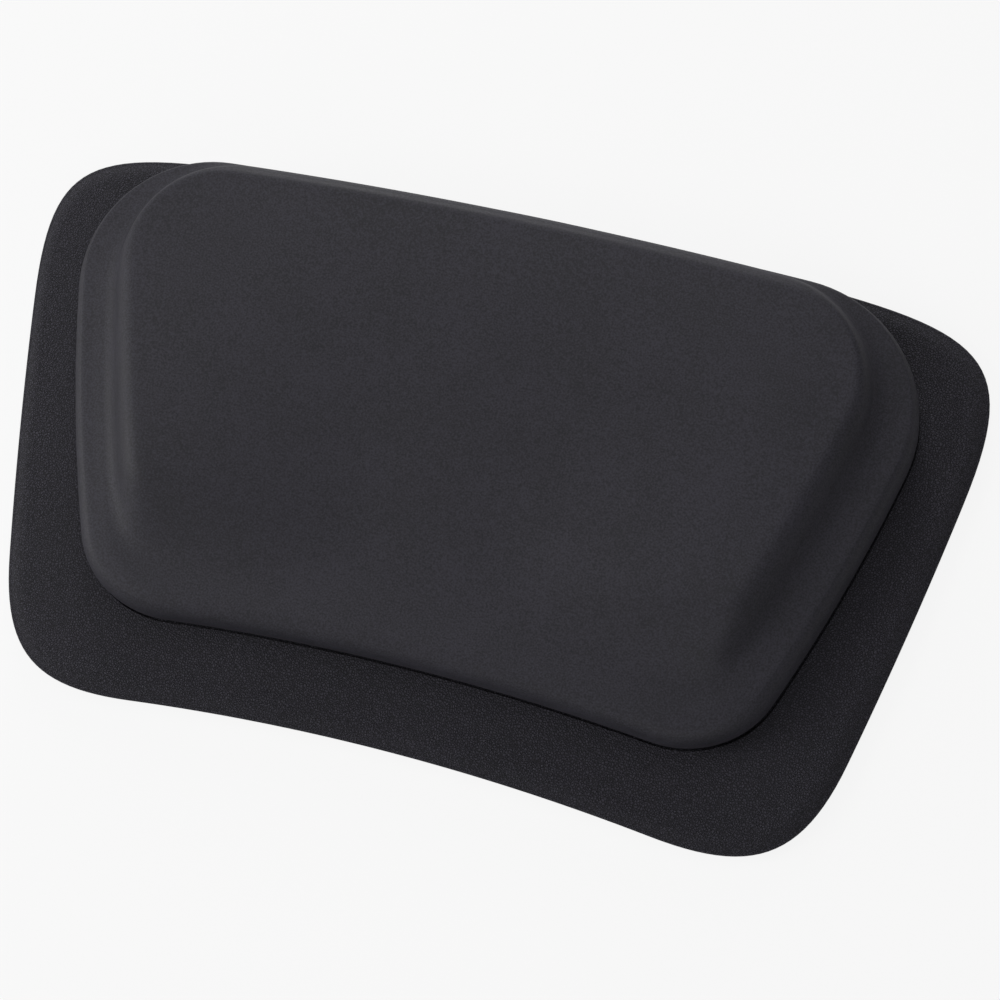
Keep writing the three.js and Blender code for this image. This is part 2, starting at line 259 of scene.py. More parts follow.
# %% Foam, resin and elastomer
def foam(name, pore, dark, light):
    finish = Finish(name)
    open_cell = finish.cells(pore, "F1").smoothstep(0.15, 0.7)
    clouds = finish.noise(20 * MM, 2.0)
    color = finish.blend(0.7 * open_cell + 0.3 * clouds, light, dark)
    return finish.done(color, 0.9 + 0.05 * clouds, 1 - open_cell, 0.3 * MM, specular=0.2)


def resin(name, dark, light, roughness, specular):
    finish = Finish(name)
    speckle = finish.noise(0.8 * MM, 2.0)
    clouds = finish.noise(15 * MM, 2.0)
    color = finish.blend(0.5 * speckle + 0.5 * clouds, dark, light)
    return finish.done(color, roughness + 0.1 * clouds, speckle, 0.03 * MM, specular)


SOFT_FOAM = foam("soft_foam", 0.9 * MM, (0.50, 0.47, 0.38), (0.74, 0.71, 0.61))
FIRM_FOAM = foam("firm_foam", 0.6 * MM, (0.10, 0.105, 0.115), (0.19, 0.20, 0.21))
PLATE_RESIN = resin("plate_resin", (0.055, 0.057, 0.064), (0.085, 0.087, 0.096), 0.42, 0.5)
SOCKET_RESIN = resin("socket_resin", (0.010, 0.010, 0.011), (0.016, 0.016, 0.017), 0.42, 0.5)
CUP_ELASTOMER = resin("cup_elastomer", (0.30, 0.33, 0.35), (0.40, 0.43, 0.45), 0.18, 0.5)
print("finishes:", len(bpy.data.materials))

# %% [markdown]
# ## The fan outline
# Every layer of the pillow has the same kind of outline: a wide top edge and a narrow bottom edge
# that both bow upwards, bowed sides and four round corners. It could be traced point by point, but
# eleven sizes say it better, because two outlines can then be blended into any one between them.

# %% Outline sizes
SKIRT = dict(
    top_half=180, bottom_half=141, top_mid=98.65, bottom_mid=-98.65, top_bow=13, bottom_bow=12, side_bow=3,
    top_radius=56.5, bottom_radius=51.5, top_fullness=1.5, bottom_fullness=1.32,
)
FOOT = dict(
    top_half=160.2, bottom_half=113.7, top_mid=93.75, bottom_mid=-69, top_bow=5.5, bottom_bow=7.5, side_bow=6,
    top_radius=52, bottom_radius=35.5, top_fullness=1, bottom_fullness=1,
)
RIM = dict(
    top_half=142, bottom_half=98.5, top_mid=91, bottom_mid=-57.75, top_bow=5.5, bottom_bow=5, side_bow=4,
    top_radius=43, bottom_radius=28.5, top_fullness=1, bottom_fullness=1,
)
FACE = dict(
    top_half=135.5, bottom_half=92, top_mid=87, bottom_mid=-51, top_bow=5.5, bottom_bow=5, side_bow=4,
    top_radius=34, bottom_radius=27, top_fullness=1, bottom_fullness=1,
)
SIDE_STEPS, LONG_STEPS, CORNER_STEPS = 36, 60, 24
SMALLEST_RADIUS = 0.5
print("fans:", len(SKIRT), "sizes each")


# %% Outlines between outlines
def blended(first, second, share):
    return {size: first[size] + (second[size] - first[size]) * share for size in first}


def drawn_in(fan, inset):
    return dict(
        fan,
        top_half=fan["top_half"] - inset,
        bottom_half=fan["bottom_half"] - inset,
        top_mid=fan["top_mid"] - inset,
        bottom_mid=fan["bottom_mid"] + inset,
        top_radius=max(fan["top_radius"] - inset, SMALLEST_RADIUS),
        bottom_radius=max(fan["bottom_radius"] - inset, SMALLEST_RADIUS),
    )


print("half way from foot to rim the top is", blended(FOOT, RIM, 0.5)["top_half"] * 2, "mm wide")

# %% Bowed edges and round corners
LENGTH_SAMPLES = 60


class BowedEdge:
    """A parabola between two corners that bows to the right of its direction."""

    def __init__(self, start, end, bow):
        along = (end - start) / np.linalg.norm(end - start)
        outward = np.array((along[1], -along[0]))
        self.points = start, (start + end) / 2 + 2 * bow * outward, end
        stretches = np.diff(self.at(np.linspace(0, 1, LENGTH_SAMPLES)), axis=0)
        self.length = float(np.linalg.norm(stretches, axis=1).sum())

    def at(self, share):
        share = np.asarray(share)[..., None]
        start, control, end = self.points
        return (1 - share) ** 2 * start + 2 * share * (1 - share) * control + share**2 * end

    def direction(self, share):
        start, control, end = self.points
        slope = (1 - share) * (control - start) + share * (end - control)
        return slope / np.linalg.norm(slope)


def turn_between(first, second):
    return float(np.arccos(np.clip(first @ second, -1, 1)))


def round_corner(start, start_direction, end, end_direction, fullness, steps):
    turn = turn_between(start_direction, end_direction)
    radius = np.linalg.norm(end - start) / (2 * sin(turn / 2))
    handle = 4 / 3 * tan(turn / 4) * radius * fullness
    share = np.linspace(0, 1, steps + 1)[1:-1, None]
    first, second = start + handle * start_direction, end - handle * end_direction
    return (
        (1 - share) ** 3 * start + 3 * (1 - share) ** 2 * share * first
        + 3 * (1 - share) * share**2 * second + share**3 * end
    )


# %% Outline points
def fan_outline(fan):
    """The outline's points, anticlockwise, in millimetres, always as many and in the same order."""
    top_y = fan["top_mid"] - fan["top_bow"]
    bottom_y = fan["bottom_mid"] - fan["bottom_bow"]
    right_low, right_high = np.array((fan["bottom_half"], bottom_y)), np.array((fan["top_half"], top_y))
    left_high, left_low = np.array((-fan["top_half"], top_y)), np.array((-fan["bottom_half"], bottom_y))
    edges = [
        BowedEdge(right_low, right_high, fan["side_bow"]),
        BowedEdge(right_high, left_high, fan["top_bow"]),
        BowedEdge(left_high, left_low, fan["side_bow"]),
        BowedEdge(left_low, right_low, -fan["bottom_bow"]),
    ]
    steps = [SIDE_STEPS, LONG_STEPS, SIDE_STEPS, LONG_STEPS]
    radii = [fan["top_radius"], fan["top_radius"], fan["bottom_radius"], fan["bottom_radius"]]
    fullness = [fan["top_fullness"], fan["top_fullness"], fan["bottom_fullness"], fan["bottom_fullness"]]
    following = edges[1:] + edges[:1]
    trims = [
        radius * tan(turn_between(edge.direction(1), after.direction(0)) / 2)
        for edge, after, radius in zip(edges, following, radii)
    ]
    starts = [trims[k - 1] / edge.length for k, edge in enumerate(edges)]
    ends = [1 - trim / edge.length for trim, edge in zip(trims, edges)]
    points = []
    for k, edge in enumerate(edges):
        after, after_start = following[k], starts[(k + 1) % len(edges)]
        points.append(edge.at(np.linspace(starts[k], ends[k], steps[k] + 1)))
        points.append(round_corner(
            edge.at(ends[k]), edge.direction(ends[k]), after.at(after_start), after.direction(after_start),
            fullness[k], CORNER_STEPS,
        ))
    return np.vstack(points)


# The frame has its origin in the middle of the skirt's box, a little off the outline's own middle
SKIRT_Y = fan_outline(SKIRT)[:, 1]
PLAN_SHIFT = -(SKIRT_Y.max() + SKIRT_Y.min()) / 2
RING_SIZE = len(SKIRT_Y)


def fan_points(fan):
    return fan_outline(fan) + (0, PLAN_SHIFT)


print("an outline has", RING_SIZE, "points and is shifted by", round(PLAN_SHIFT, 3), "mm")

# %% [markdown]
# ## From rings to meshes
# Each soft piece is a stack of rings, closed by a point at either end. Rings of equal size make a
# clean grid of four-sided faces, which bends and shades better than a cut block would.


# %% Mesh helpers
def new_piece(name, vertices, faces, material, shares=None):
    """A smooth-shaded mesh from points in millimetres, with its normals turned outwards."""
    mesh = bpy.data.meshes.new(name)
    mesh.from_pydata((np.asarray(vertices) * MM).tolist(), [], faces)
    for share, values in (shares or {}).items():
        mesh.attributes.new(share, "FLOAT", "POINT").data.foreach_set("value", values)
    work = bmesh.new()
    work.from_mesh(mesh)
    bmesh.ops.recalc_face_normals(work, faces=work.faces)
    work.to_mesh(mesh)
    work.free()
    mesh.shade_smooth()
    mesh.materials.append(material)
    piece = bpy.data.objects.new(name, mesh)
    bpy.context.scene.collection.objects.link(piece)
    return piece


def ring_faces(ring_count, ring_size):
    """Faces from ring to ring, and from two points after them that close the first and the last ring."""
    here = np.arange(ring_size)
    after = (here + 1) % ring_size
    faces = []
    for start in range(0, (ring_count - 1) * ring_size, ring_size):
        above = start + ring_size
        faces.extend(np.stack([start + here, start + after, above + after, above + here], 1).tolist())
    first_point = ring_count * ring_size
    last_ring = first_point - ring_size
    first_cap = [np.full(ring_size, first_point), after, here]
    last_cap = [np.full(ring_size, first_point + 1), last_ring + here, last_ring + after]
    for cap in (first_cap, last_cap):
        faces.extend(np.stack(cap, 1).tolist())
    return faces


def made_plain(piece):
    """The piece with its modifiers turned into plain mesh."""
    evaluated = piece.evaluated_get(bpy.context.evaluated_depsgraph_get())
    mesh = bpy.data.meshes.new_from_object(evaluated)
    mesh.name = piece.name
    piece.modifiers.clear()
    piece.data = mesh
    return piece


# %% [markdown]
# ## The pad's side
# From the crease the skin rises straight, rolls over the lower tier, levels out to a ledge and climbs
# to the resting face. One profile swept round the pad would do if the side were even, but it is wider
# at the ends than at the top. So each row below gives shares: how far in a point of the climb lies
# between the outlines, and how high. A Catmull-Rom curve runs through the rows.

# %% Side rows
SKIRT_FRONT = 8
LOWER_TIER_HEIGHT = 16
UPPER_TIER_RISE = 12
LOWER_ROLL_WIDTH = 5.5
TOP_ROLL_WIDTH = 2

# Each row has shares of the lower roll's width, of the way from there to the rim and of the way on to
# the face, then of the lower tier's height and of the upper tier's rise
LOWER_COLUMN, UPPER_COLUMN = 3, 4
SIDE_ROWS = np.array([
    (0.00, 0.00, 0.00, 0.00, 0.00),
    (0.00, 0.00, 0.00, 0.18, 0.00),
    (0.05, 0.00, 0.00, 0.38, 0.00),
    (0.16, 0.00, 0.00, 0.58, 0.00),
    (0.34, 0.00, 0.00, 0.75, 0.00),
    (0.57, 0.00, 0.00, 0.87, 0.00),
    (0.80, 0.00, 0.00, 0.935, 0.00),
    (1.00, 0.00, 0.00, 0.965, 0.00),
    (1.00, 0.28, 0.00, 0.990, 0.00),
    (1.00, 0.47, 0.00, 1.00, 0.02),
    (1.00, 0.63, 0.00, 1.00, 0.055),
    (1.00, 0.79, 0.00, 1.00, 0.13),
    (1.00, 0.905, 0.00, 1.00, 0.235),
    (1.00, 1.00, 0.00, 1.00, 0.35),
    (1.00, 1.00, 0.215, 1.00, 0.525),
    (1.00, 1.00, 0.43, 1.00, 0.69),
    (1.00, 1.00, 0.63, 1.00, 0.81),
    (1.00, 1.00, 0.815, 1.00, 0.89),
    (1.00, 1.00, 1.00, 1.00, 0.94),
    (1.00, 1.00, 1.25, 1.00, 0.98),
    (1.00, 1.00, 1.55, 1.00, 0.997),
    (1.00, 1.00, 1.85, 1.00, 1.00),
])


def curve_through(rows, steps):
    """Points on a Catmull-Rom curve through rows, steps of them from each row to the next."""
    padded = np.vstack([2 * rows[0] - rows[1], rows, 2 * rows[-1] - rows[-2]])
    points = []
    for before, start, end, after in zip(padded, padded[1:], padded[2:], padded[3:]):
        for share in np.arange(steps) / steps:
            points.append(0.5 * (
                2 * start + (end - before) * share
                + (2 * before - 5 * start + 4 * end - after) * share**2
                + (3 * start - before - 3 * end + after) * share**3
            ))
    return np.vstack([*points, rows[-1]])


print("side rows:", len(SIDE_ROWS))

# %% Pad surface
FACE_RINGS = 26


def face_middle():
    return np.array((0, (RIM["top_mid"] + RIM["bottom_mid"]) / 2 + PLAN_SHIFT))


def pad_rings(rows, inset, floor, face_rings=FACE_RINGS):
    """Rings of the pad's surface drawn in by an inset, from its foot to near the middle of its face.
    Each ring comes with the share of the upper rise and of the crown that its points have. Rings that
    would lie on top of each other at the floor are left out, except the last."""
    rings = []
    for lower_roll, to_rim, to_face, lower, upper in rows:
        shoulder = drawn_in(FOOT, lower_roll * LOWER_ROLL_WIDTH)
        shoulder["top_mid"] = FOOT["top_mid"] - lower_roll * TOP_ROLL_WIDTH
        fan = blended(blended(shoulder, RIM, to_rim), FACE, to_face)
        plan = fan_points(drawn_in(fan, inset))
        height = SKIRT_FRONT + LOWER_TIER_HEIGHT * lower + UPPER_TIER_RISE * upper - inset
        if height <= floor:
            rings.clear()
        rings.append((plan, max(height, floor), upper, 0.0))
    edge, height = rings[-1][:2]
    middle = face_middle()
    for share in np.linspace(1, 0, face_rings + 1)[1:-1]:
        rings.append((middle + (edge - middle) * share, height, 1.0, 1 - share**2))
    return rings


def piece_from_rings(name, rings, first_point, last_point, material):
    """A closed piece from rings of (plan, height, upper share, crown share)."""
    size = len(rings[0][0])
    flat = [np.column_stack([plan, np.full(size, height)]) for plan, height, _, _ in rings]
    points = np.vstack([*flat, first_point[:3], last_point[:3]])
    shares = {}
    for column, share in ((2, "upper_share"), (3, "crown_share")):
        ends = first_point[column + 1], last_point[column + 1]
        shares[share] = np.concatenate([np.repeat([ring[column] for ring in rings], size), ends])
    return new_piece(name, points, ring_faces(len(rings), size), material, shares)


# %% [markdown]
# ## The neck hollow as a rule
# In the lower middle the face dips to take the neck, and the step between the tiers fades out there
# and along the whole lower edge. It could be pushed in with a sculpting brush, but a rule is easier
# to change: Geometry Nodes lower each point by a smooth function of its place, times the share of the
# upper rise that it stands on. The same tree adds the crown of the face and the slight unevenness
# that a foamed skin has.

# %% Hollow tree
HOLLOW_INPUTS = {
    "Flat Half Width": 18 * MM,
    "Half Width": 115 * MM,
    "Edge": (RIM["bottom_mid"] + PLAN_SHIFT) * MM,
    "Reach": 145 * MM,
    "Fade Reach": 35 * MM,
    "Depth": UPPER_TIER_RISE * MM,
    "Crown": 1.5 * MM,
    "Unevenness": 0.35 * MM,
    "Unevenness Scale": 22.0,
    "Seed": 4.0,
}
print("hollow inputs:", len(HOLLOW_INPUTS))


def hollow_tree(material):
    tree = bpy.data.node_groups.new("neck_hollow", "GeometryNodeTree")
    tree.interface.new_socket("Geometry", in_out="INPUT", socket_type="NodeSocketGeometry")
    for name in HOLLOW_INPUTS:
        tree.interface.new_socket(name, in_out="INPUT", socket_type="NodeSocketFloat")
    tree.interface.new_socket("Geometry", in_out="OUTPUT", socket_type="NodeSocketGeometry")
    sheet = Sheet(tree)
    entry = sheet.node("NodeGroupInput")
    given = {socket.name: Wire(sheet, socket) for socket in entry.socket.node.outputs}
    position = sheet.node("GeometryNodeInputPosition")
    x, y = (sheet.node("ShaderNodeSeparateXYZ", None, {"Vector": position}, axis) for axis in "XY")
    share = {
        name: sheet.node("GeometryNodeInputNamedAttribute", {"data_type": "FLOAT"}, {"Name": name})
        for name in ("upper_share", "crown_share")
    }
    across = 1 - x.absolute().smoothstep(given["Flat Half Width"], given["Half Width"])
    along = 1 - y.smoothstep(given["Edge"], given["Edge"] + given["Reach"])
    hollow = across * along
    fade = 1 - y.smoothstep(given["Edge"], given["Edge"] + given["Fade Reach"])
    drop = (hollow + fade - hollow * fade) * share["upper_share"] * given["Depth"]
    sockets = {"Vector": position, "W": given["Seed"], "Scale": given["Unevenness Scale"]}
    wander = sheet.node("ShaderNodeTexNoise", {"noise_dimensions": "4D"}, sockets)
    lift = given["Crown"] * share["crown_share"] - drop
    lift = lift + (wander - NOISE_MIDDLE) * given["Unevenness"] * share["upper_share"]
    offset = sheet.node("ShaderNodeCombineXYZ", None, {"Z": lift})
    moved = sheet.node("GeometryNodeSetPosition", None, {"Geometry": given["Geometry"], "Offset": offset})
    real = sheet.node("GeometryNodeRealizeInstances", None, {"Geometry": moved})
    dressed = sheet.node("GeometryNodeSetMaterial", None, {"Geometry": real, "Material": material})
    sheet.node("NodeGroupOutput", None, {"Geometry": dressed})
    return tree


def hollowed(piece):
    """The piece lowered by the hollow tree and made plain, its helper attributes gone."""
    modifier = piece.modifiers.new("neck_hollow", "NODES")
    modifier.node_group = hollow_tree(piece.data.materials[0])
    for item in modifier.node_group.interface.items_tree:
        if item.in_out == "INPUT" and item.name in HOLLOW_INPUTS:
            modifier[item.identifier] = HOLLOW_INPUTS[item.name]
    made_plain(piece)
    for share in ("upper_share", "crown_share"):
        piece.data.attributes.remove(piece.data.attributes[share])
    piece.data.shade_smooth()
    return piece


# %% [markdown]
# ## The pad cover
# The cover is one moulded skin, two millimetres thick, turned in at its foot to a lip that is bonded
# to the skirt. A Solidify modifier would thicken it, but it pinches where the lip turns, so the inner
# wall is a second run of the same rings, drawn in by the wall, and the lip joins the two.

# %% Pad cover
COVER_WALL = 2
COVER_LIP_WIDTH = 12
LIP_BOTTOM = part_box("pad_cover")[0].z / MM
LIP_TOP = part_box("mounting_plate")[1].z / MM
TUCK_ROUNDING = 0.8
COVER_STEPS = 6
INNER_STEPS = 2


def pad_cover():
    outer = pad_rings(curve_through(SIDE_ROWS, COVER_STEPS), 0, LIP_BOTTOM + TUCK_ROUNDING)
    inner = pad_rings(curve_through(SIDE_ROWS, INNER_STEPS), COVER_WALL, LIP_TOP, FACE_RINGS // 2)
    opening = drawn_in(FOOT, COVER_LIP_WIDTH)
    lip = [
        (fan_points(opening), LIP_TOP, 0.0, 0.0),
        (fan_points(opening), LIP_BOTTOM, 0.0, 0.0),
        (fan_points(drawn_in(FOOT, TUCK_ROUNDING)), LIP_BOTTOM, 0.0, 0.0),
    ]
    rings = inner[::-1] + lip + outer
    top = SKIRT_FRONT + LOWER_TIER_HEIGHT + UPPER_TIER_RISE
    middle = face_middle()
    return piece_from_rings(
        "pad_cover_skin", rings, (*middle, top - COVER_WALL, 1.0, 1.0), (*middle, top, 1.0, 1.0), SMOOTH_SKIN
    )


cover = hollowed(pad_cover())
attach(cover, "pillow")
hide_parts("pad_cover")
print("pad cover:", len(cover.data.polygons), "faces")

# %% [markdown]
# ## The skirt
# The skirt is a flexible sheet that thins towards a half-round edge, with a narrow crease round the
# pad's foot and six windows that the cups look through. Rings give its edge and its faces. The crease
# and the windows could be modelled face by face, but a boolean cut is shorter, and cutters that flare
# where they leave the sheet give the windows the eased edge that a moulding has.

# %% Skirt sizes
SKIRT_BACK = 3
SKIRT_EDGE_THICKNESS = 2.6
SKIRT_TAPER_WIDTH = 7
SKIRT_TAPER_STEPS = 8
SKIRT_FACE_INSETS = (14, 22, 32, 44, 60, 76)
ARC_STEP = 15
WINDOW_RADIUS = 17.6
WINDOW_EASING = 0.7
WINDOW_SEGMENTS = 96
CUTTER_OVERRUN = 2
CREASE_WIDTH = 0.8
CREASE_DEPTH = 1.4
CREASE_EASING = 0.2
# The crease starts this far under the pad, so no thin wall is left between them
CREASE_SEAT = 1.0
CUP_NAMES = sorted(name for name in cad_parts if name.startswith("suction_cup"))
CUP_PLACES = {name: (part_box(name)[0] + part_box(name)[1]) / 2 / MM for name in CUP_NAMES}
print("windows for", CUP_NAMES)

# %% Turned pieces and cuts
SHARP_ANGLE = radians(35)


def turned_piece(name, profile, place, material, segments):
    """A closed piece turned about a vertical axis; the profile's two ends lie on the axis."""
    angles = np.arange(segments) * 2 * pi / segments
    circle = np.column_stack([np.cos(angles), np.sin(angles)])
    rings = [
        np.column_stack([radius * circle, np.full(segments, height)]) for radius, height in profile[1:-1]
    ]
    ends = [(0, 0, profile[0][1]), (0, 0, profile[-1][1])]
    points = np.vstack([*rings, *ends]) + (place.x, place.y, 0)
    return new_piece(name, points, ring_faces(len(rings), segments), material)


def cut(piece, cutters):
    """The piece less its cutters, which are deleted. Its new corners are marked sharp, because smooth
    shading would spread their darkness over the flat faces beside them."""
    for cutter in cutters:
        modifier = piece.modifiers.new("cut", "BOOLEAN")
        modifier.operation = "DIFFERENCE"
        modifier.solver = "EXACT"
        modifier.object = cutter
    made_plain(piece)
    piece.data.set_sharp_from_angle(angle=SHARP_ANGLE)
    for cutter in cutters:
        bpy.data.objects.remove(cutter)
    return piece


def eased_cutter(name, place, radius, bottom, top):
    """A round cutter that flares in quarter rounds where it leaves the sheet."""
    angles = np.radians(np.arange(0, 90 + ARC_STEP, ARC_STEP))
    low = [(radius + WINDOW_EASING * (1 - sin(a)), bottom + WINDOW_EASING * (1 - cos(a))) for a in angles]
    high = [(r, bottom + top - z) for r, z in low[::-1]]
    low_end = [(0, bottom - CUTTER_OVERRUN), (radius + WINDOW_EASING, bottom - CUTTER_OVERRUN)]
    high_end = [(radius + WINDOW_EASING, top + CUTTER_OVERRUN), (0, top + CUTTER_OVERRUN)]
    return turned_piece(name, low_end + low + high + high_end, place, GRAINED_SKIN, WINDOW_SEGMENTS)


# %% Skirt sheet
def skirt_sheet():
    edge_radius = SKIRT_EDGE_THICKNESS / 2
    rings = []

    def add(inset, height):
        rings.append((fan_points(drawn_in(SKIRT, inset)), height, 0.0, 0.0))

    for inset in SKIRT_FACE_INSETS[::-1]:
        add(inset, SKIRT_BACK)
    for degrees in range(-90, 90 + ARC_STEP, ARC_STEP):
        angle = radians(degrees)
        add(edge_radius * (1 - cos(angle)), SKIRT_BACK + edge_radius * (1 + sin(angle)))
    taper_top = SKIRT_FRONT - SKIRT_BACK - SKIRT_EDGE_THICKNESS
    for share in np.linspace(0, 1, SKIRT_TAPER_STEPS + 1)[1:]:
        height = SKIRT_BACK + SKIRT_EDGE_THICKNESS + taper_top * (1 - (1 - share) ** 2)
        add(edge_radius + (SKIRT_TAPER_WIDTH - edge_radius) * share, height)
    for inset in SKIRT_FACE_INSETS:
        add(inset, SKIRT_FRONT)
    middle = (0, PLAN_SHIFT)
    return piece_from_rings(
        "skirt_sheet", rings, (*middle, SKIRT_BACK, 0.0, 0.0), (*middle, SKIRT_FRONT, 0.0, 0.0), GRAINED_SKIN
    )


# %% Crease
def crease_cutter():
    """A narrow band round the pad's foot, closed on itself."""
    bottom, top = SKIRT_FRONT - CREASE_DEPTH, SKIRT_FRONT + CUTTER_OVERRUN
    corners = [
        (CREASE_SEAT, bottom),
        (-CREASE_WIDTH, bottom),
        (-CREASE_WIDTH - CREASE_EASING, top),
        (CREASE_SEAT, top),
    ]
    rings = [
        np.column_stack([fan_points(drawn_in(FOOT, inset)), np.full(RING_SIZE, height)])
        for inset, height in corners
    ]
    here = np.arange(RING_SIZE)
    after = (here + 1) % RING_SIZE
    faces = []
    for k in range(len(rings)):
        low, high = k * RING_SIZE, (k + 1) % len(rings) * RING_SIZE
        faces.extend(np.stack([low + here, low + after, high + after, high + here], 1).tolist())
    return new_piece("crease_cutter", np.vstack(rings), faces, GRAINED_SKIN)


# %% Cut the skirt
skirt = cut(skirt_sheet(), [
    crease_cutter(),
    *(
        eased_cutter(f"window_{name}", place, WINDOW_RADIUS, SKIRT_BACK, SKIRT_FRONT)
        for name, place in CUP_PLACES.items()
    ),
])
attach(skirt, "pillow")
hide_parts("skirt")
print("skirt:", len(skirt.data.polygons), "faces")

# %% [markdown]
# ## The foam
# A soft layer of foam lies under the face and a firm one under that, parted at one level. The firm
# layer has a well over each cup's socket. Each could be a block cut to the cover, but the pad's own
# rings, drawn in past the wall, already follow the inside of the cover at an even gap.

# %% Foam layers
LAYER_GAP = 0.3
FOAM_STEPS = 4
FOAM_INSET = COVER_WALL + LAYER_GAP
FOAM_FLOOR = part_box("core_foam")[0].z / MM
FOAM_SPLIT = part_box("core_foam")[1].z / MM
SPLIT_SHARE = (FOAM_SPLIT + FOAM_INSET - SKIRT_FRONT) / LOWER_TIER_HEIGHT
WELL_RADIUS = 10.3
WELL_HEADROOM = 0.8
WELL_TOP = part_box("suction_cup_1")[1].z / MM + WELL_HEADROOM
WELL_SEGMENTS = 48


def comfort_foam():
    rows = curve_through(SIDE_ROWS, FOAM_STEPS)
    rows = rows[(rows[:, LOWER_COLUMN] > SPLIT_SHARE) | (rows[:, UPPER_COLUMN] > 0)]
    bottom = FOAM_SPLIT + LAYER_GAP
    rings = pad_rings(rows, FOAM_INSET, bottom, FACE_RINGS // 2)
    top = SKIRT_FRONT + LOWER_TIER_HEIGHT + UPPER_TIER_RISE - FOAM_INSET
    middle = face_middle()
    return piece_from_rings(
        "comfort_foam_layer", rings, (*middle, bottom, 0.0, 0.0), (*middle, top, 1.0, 1.0), SOFT_FOAM
    )


def core_foam():
    rows = curve_through(SIDE_ROWS, FOAM_STEPS)
    rows = rows[(rows[:, LOWER_COLUMN] < SPLIT_SHARE) & (rows[:, UPPER_COLUMN] == 0)]
    rings = [ring for ring in pad_rings(rows, FOAM_INSET, FOAM_FLOOR, 1) if ring[1] < FOAM_SPLIT]
    rings.append((rings[-1][0], FOAM_SPLIT, 0.0, 0.0))
    middle = face_middle()
    layer = piece_from_rings(
        "core_foam_layer", rings, (*middle, FOAM_FLOOR, 0.0, 0.0), (*middle, FOAM_SPLIT, 0.0, 0.0), FIRM_FOAM
    )
    wells = []
    for name, place in CUP_PLACES.items():
        profile = [(0, SKIRT_FRONT), (WELL_RADIUS, SKIRT_FRONT), (WELL_RADIUS, WELL_TOP), (0, WELL_TOP)]
        wells.append(turned_piece(f"well_{name}", profile, place, FIRM_FOAM, WELL_SEGMENTS))
    return cut(layer, wells)


soft_layer = hollowed(comfort_foam())
firm_layer = core_foam()
for layer, node, material_slot in (
    (soft_layer, "comfort_foam", "soft_foam"), (firm_layer, "core_foam", "firm_foam"),
):
    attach(layer, "pillow")
    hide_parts(node)
    print(layer.name, len(layer.data.polygons), "faces")

# %% [markdown]
# ## The suction cups
# A cup is turned: a shallow bell with a thin flat lip, a neck that the socket holds and a mushroom
# head that snaps through it. The frame's cup has few facets, so a smooth one stands for it, at the
# same sizes, and rides on the cup's own body so that it turns with it. A Bevel modifier would ease
# its edges by one width, but the edges differ, so each corner of the profile gets its own radius.

# %% Suction cups
CUP_SEGMENTS = 96
BELL_STEPS = 13
CUP_RADIUS = 16
CUP_LIP_WIDTH = 1.4
CUP_LIP_THICKNESS = 0.9
CUP_SHOULDER_RADIUS = 7
CUP_NECK_RADIUS = 4
CUP_HEAD_RADIUS = 6
CUP_TOP = 6.5
CUP_BELL_HEIGHT = 4.1
CUP_HEAD_BOTTOM = 12.6
CUP_HEAD_EDGE = 1.2
CUP_HEAD_TIP_RADIUS = 2.4
CUP_HEAD_TOP = 16.2
# One for each corner, from the lip's outer edge up to the tip of the head
CUP_ROUNDINGS = [0.15, 0.3, 1.0, 0.3, 0.4, 0.3, 0.5, 0.8]
ROUNDING_STEPS = 5


def eased(profile, radii):
    """A profile whose inner points are rounded to the radii given for them, as Bezier bends."""
    points = [np.array(point, float) for point in profile]
    out = [points[0]]
    for before, here, after, radius in zip(points, points[1:], points[2:], radii):
        back, ahead = before - here, after - here
        reach = min(radius, np.linalg.norm(back) / 2, np.linalg.norm(ahead) / 2)
        start = here + back / np.linalg.norm(back) * reach
        end = here + ahead / np.linalg.norm(ahead) * reach
        for share in np.linspace(0, 1, ROUNDING_STEPS + 1):
            out.append((1 - share) ** 2 * start + 2 * share * (1 - share) * here + share**2 * end)
    out.append(points[-1])
    return [tuple(point) for point in out]


def cup_profile():
    bell_radius = CUP_RADIUS - CUP_LIP_WIDTH
    shares = np.linspace(0, 1, BELL_STEPS + 1)
    bell = [(bell_radius * share, CUP_BELL_HEIGHT * (1 - share**2)) for share in shares[:-1]]
    outside = [
        (bell_radius, 0),
        (CUP_RADIUS, 0),
        (CUP_RADIUS, CUP_LIP_THICKNESS),
        (CUP_SHOULDER_RADIUS, CUP_TOP),
        (CUP_NECK_RADIUS, CUP_TOP),
        (CUP_NECK_RADIUS, CUP_HEAD_BOTTOM),
        (CUP_HEAD_RADIUS, CUP_HEAD_BOTTOM),
        (CUP_HEAD_RADIUS, CUP_HEAD_BOTTOM + CUP_HEAD_EDGE),
        (CUP_HEAD_TIP_RADIUS, CUP_HEAD_TOP),
        (0, CUP_HEAD_TOP),
    ]
    return bell + eased(outside, CUP_ROUNDINGS)


for number, (name, place) in enumerate(CUP_PLACES.items(), 1):
    cup = turned_piece(f"{name}_moulding", cup_profile(), place, CUP_ELASTOMER, CUP_SEGMENTS)
    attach(cup, f"cup_{number}")
    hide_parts(name)
print("cups:", len(CUP_PLACES))

# %% [markdown]
# ## What stays as it is
# The plate and the sockets are simple and almost hidden, so the frame's own solids stay, each with a
# moulded resin finish in place of the plain one.

# %% Plate and sockets
for name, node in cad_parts.items():
    if name == "mounting_plate" or name.startswith("cup_socket"):
        material = PLATE_RESIN if name == "mounting_plate" else SOCKET_RESIN
        node.data.materials.clear()
        node.data.materials.append(material)
        print(name, "in", material.name)

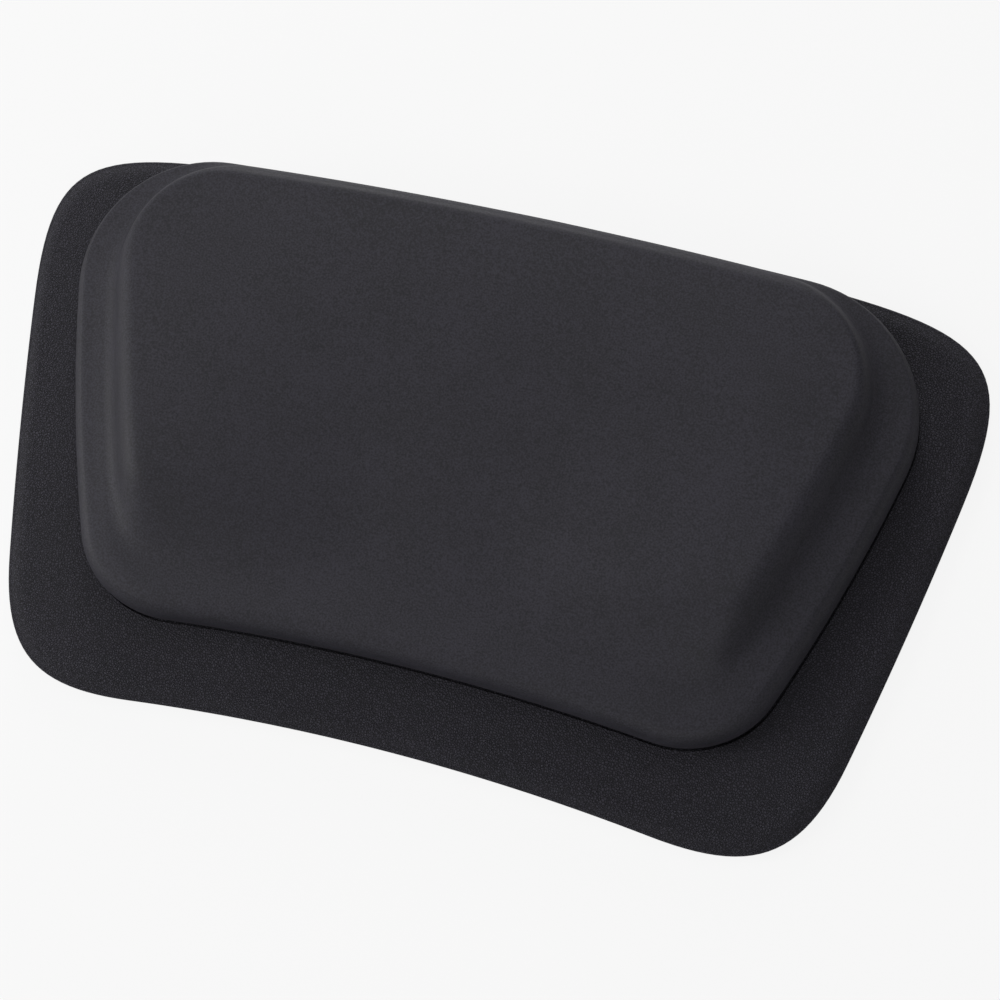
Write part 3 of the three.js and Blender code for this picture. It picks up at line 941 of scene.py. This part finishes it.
# %% [markdown]
# ## Floor, light and background
# The pillow lies on a pale floor under five soft lamps. Two beyond its upper edge and two on its left
# give the rolled edges their light lines, and one on the near side fills the shade. Light from a sky
# all round would flatten the tiers, so the sky gives none: it is there for the camera and for what
# mirrors it. The floor glows for them too, but it stays partly matt, so it still takes the shadow.

# %% Floor
FLOOR_SIZE = 4.0
FLOOR_GLOW = 0.88
FLOOR_REFLECTED = 0.1
FLOOR_DROP = 0.2
FLOOR_GREY = (0.85, 0.85, 0.85, 1.0)
WHITE = (1.0, 1.0, 1.0, 1.0)


def floor_finish():
    finish = Finish("studio_floor")
    seen, mirrored = finish.rays()
    glowing = seen.maths("MAXIMUM", seen * FLOOR_GLOW, mirrored * FLOOR_REFLECTED)
    matt = finish.node("ShaderNodeBsdfDiffuse", None, {"Color": FLOOR_GREY})
    glow = finish.node("ShaderNodeEmission", None, {"Color": WHITE, "Strength": 1.0})
    mixed = finish.node("ShaderNodeMixShader", None, {0: glowing, 1: matt, 2: glow})
    finish.node("ShaderNodeOutputMaterial", None, {"Surface": mixed})
    return finish.material


half = FLOOR_SIZE / 2 / MM
floor_plan = [(-half, -half), (half, -half), (half, half), (-half, half)]
floor = new_piece("floor", [(x, y, -FLOOR_DROP) for x, y in floor_plan], [(0, 1, 2, 3)], floor_finish())
print("floor:", FLOOR_SIZE, "m wide")


# %% Lamps
LAMP_DISTANCE = 1.5
# Each lamp has its azimuth and elevation in degrees, its width in metres and its power in watts
LAMPS = {
    "upper_high": (104, 60, 1.2, 4.3),
    "upper_low": (104, 15, 0.7, 9.2),
    "left_soft": (194, 35, 0.8, 7.1),
    "left_low": (190, 15, 0.7, 3.2),
    "lower_fill": (-76, 40, 1.2, 4.5),
}


def lamp(name, azimuth, elevation, size, power):
    """A round soft lamp aimed at the pillow; its azimuth runs anticlockwise from +X."""
    light = bpy.data.lights.new(name, "AREA")
    light.shape = "DISK"
    light.size = size
    light.energy = power
    turn, rise = radians(azimuth), radians(elevation)
    place = LAMP_DISTANCE * Vector((cos(turn) * cos(rise), sin(turn) * cos(rise), sin(rise)))
    holder = bpy.data.objects.new(name, light)
    bpy.context.scene.collection.objects.link(holder)
    holder.location = place
    holder.rotation_euler = (-place).to_track_quat("-Z", "Y").to_euler()


for name, settings in LAMPS.items():
    lamp(name, *settings)
print("lamps:", len(LAMPS))

# %% Sky
SKY_REFLECTED = 0.5
world = bpy.data.worlds.new("studio")
bpy.context.scene.world = world
world.use_nodes = True
sky = Sheet(world.node_tree)
seen, mirrored = sky.rays()
strength = seen + mirrored * SKY_REFLECTED
backdrop = sky.node("ShaderNodeBackground", None, {"Color": WHITE, "Strength": strength})
sky.node("ShaderNodeOutputWorld", None, {"Surface": backdrop})

bpy.context.scene.view_settings.view_transform = "Standard"
print("sky seen in reflections at", SKY_REFLECTED)

# %% [markdown]
# The dressed pillow has to stay in the box of its solids.
